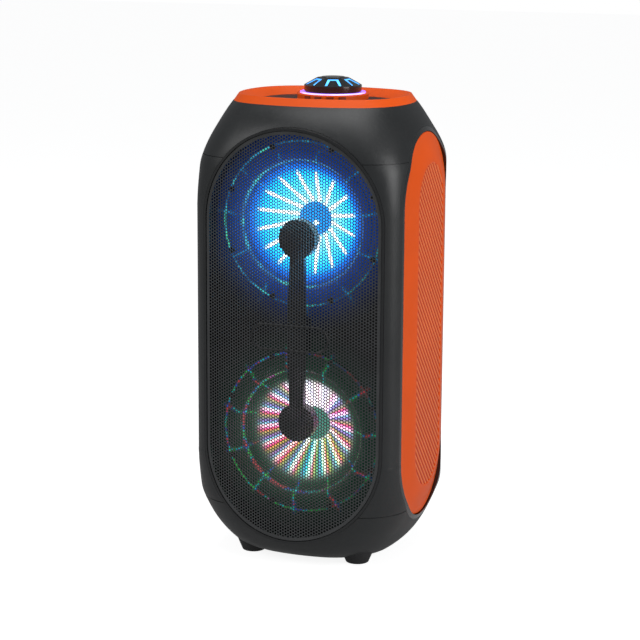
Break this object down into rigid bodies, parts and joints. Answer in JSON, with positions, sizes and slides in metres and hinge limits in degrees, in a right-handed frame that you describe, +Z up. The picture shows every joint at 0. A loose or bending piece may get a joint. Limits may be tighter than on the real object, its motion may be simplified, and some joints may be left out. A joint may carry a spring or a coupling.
{
  "type": "party speaker",
  "caption": "Free-standing rounded party speaker with stacked woofers behind a tall bowed steel grille, lit volume knob in a trim ring and coloured side panels.",
  "frame": {"origin": "centre of the base, on the floor, under the middle of the bounding box", "axes": "+Z up, -Y towards the listener (the grille side), +X to the right seen from the front"},
  "size_m": [0.276, 0.248, 0.5888],
  "materials": {
    "cabinet_black": "fine spark texture, matte",
    "orange": "satin orange",
    "gloss_black": "gloss",
    "light_violet": "lit diffuser",
    "light_cyan": "lit diffuser",
    "grille_steel": "black powder coat",
    "black_plastic": "satin black",
    "led_lens": "frosted clear",
    "circuit_board": "solder mask",
    "board_wood": "black stained fibreboard",
    "pressed_steel": "black paint",
    "zinc_steel": "zinc plated",
    "cone_pulp": "coated paper",
    "rubber": "matt",
    "spider_cloth": "resin treated cloth",
    "copper": "wound wire",
    "ferrite": "ground ferrite",
    "battery_wrap": "shrink wrap",
    "aluminium": "extruded"
  },
  "bodies": {
    "cabinet": {"amplifier_board": "circuit_board", "audio_jacks": "black_plastic", "bass_port": "black_plastic", "battery_bracket": "zinc_steel", "battery_pack": "battery_wrap", "bottom_cap": "cabinet_black", "control_board": "circuit_board", "control_deck": "gloss_black", "encoder_housing": "zinc_steel", "feet": "rubber", "front_baffle": "board_wood", "front_grille": "grille_steel", "front_shell": "cabinet_black", "grille_frame": "black_plastic", "heat_sink": "aluminium", "jack_plate": "black_plastic", "knob_light_ring": "light_violet", "knob_pedestal": "orange", "led_boards": "circuit_board", "led_lenses": "led_lens", "left_panel_rim": "gloss_black", "left_side_panel": "orange", "light_bridge": "black_plastic", "lower_basket": "pressed_steel", "lower_magnet": "ferrite", "lower_yoke": "pressed_steel", "power_inlet": "black_plastic", "rear_grip": "black_plastic", "rear_shell": "cabinet_black", "right_panel_rim": "gloss_black", "right_side_panel": "orange", "rocker_housing": "black_plastic", "shell_screws": "zinc_steel", "small_screws": "zinc_steel", "top_cap": "cabinet_black", "top_trim_ring": "orange", "upper_basket": "pressed_steel", "upper_magnet": "ferrite", "upper_yoke": "pressed_steel", "usb_socket": "zinc_steel", "woofer_screws": "zinc_steel"},
    "knob": {"volume_knob": "gloss_black", "knob_cap": "gloss_black", "knob_light_guide": "light_cyan", "encoder_shaft": "zinc_steel"},
    "power_rocker": {"power_rocker": "black_plastic"},
    "upper_driver": {"upper_cone": "cone_pulp", "upper_dust_cap": "cone_pulp", "upper_voice_coil": "copper", "upper_surround": "rubber", "upper_spider": "spider_cloth"},
    "lower_driver": {"lower_cone": "cone_pulp", "lower_dust_cap": "cone_pulp", "lower_voice_coil": "copper", "lower_surround": "rubber", "lower_spider": "spider_cloth"},
    "source_key": {"source_key": "orange"},
    "previous_key": {"previous_key": "orange"},
    "next_key": {"next_key": "orange"},
    "light_key": {"light_key": "orange"}
  },
  "joints": [
    {"name": "knob_turn", "type": "hinge", "parent": "cabinet", "child": "knob", "pos_m": [0, 0.027, 0.57], "axis": [0, 0, 1], "continuous": true},
    {"name": "source_key_press", "type": "slide", "parent": "cabinet", "child": "source_key", "axis": [0.4226, 0.9063, 0], "range_m": [0, 0.0006], "stiffness_N_per_m": 900, "springref_m": -0.0004},
    {"name": "previous_key_press", "type": "slide", "parent": "cabinet", "child": "previous_key", "axis": [0.0872, 0.9962, 0], "range_m": [0, 0.0006], "stiffness_N_per_m": 900, "springref_m": -0.0004},
    {"name": "next_key_press", "type": "slide", "parent": "cabinet", "child": "next_key", "axis": [-0.2588, 0.9659, 0], "range_m": [0, 0.0006], "stiffness_N_per_m": 900, "springref_m": -0.0004},
    {"name": "light_key_press", "type": "slide", "parent": "cabinet", "child": "light_key", "axis": [-0.5736, 0.8192, 0], "range_m": [0, 0.0006], "stiffness_N_per_m": 900, "springref_m": -0.0004},
    {"name": "rocker_tilt", "type": "hinge", "parent": "cabinet", "child": "power_rocker", "pos_m": [0.042, 0.112, 0.134], "axis": [1, 0, 0], "range_deg": [-9, 9]},
    {"name": "upper_cone_travel", "type": "slide", "parent": "cabinet", "child": "upper_driver", "axis": [0, 1, 0], "range_m": [-0.003, 0.003], "stiffness_N_per_m": 2500, "deforming": ["upper_surround", "upper_spider"]},
    {"name": "lower_cone_travel", "type": "slide", "parent": "cabinet", "child": "lower_driver", "axis": [0, 1, 0], "range_m": [-0.003, 0.003], "stiffness_N_per_m": 2500, "deforming": ["lower_surround", "lower_spider"]}
  ]
}
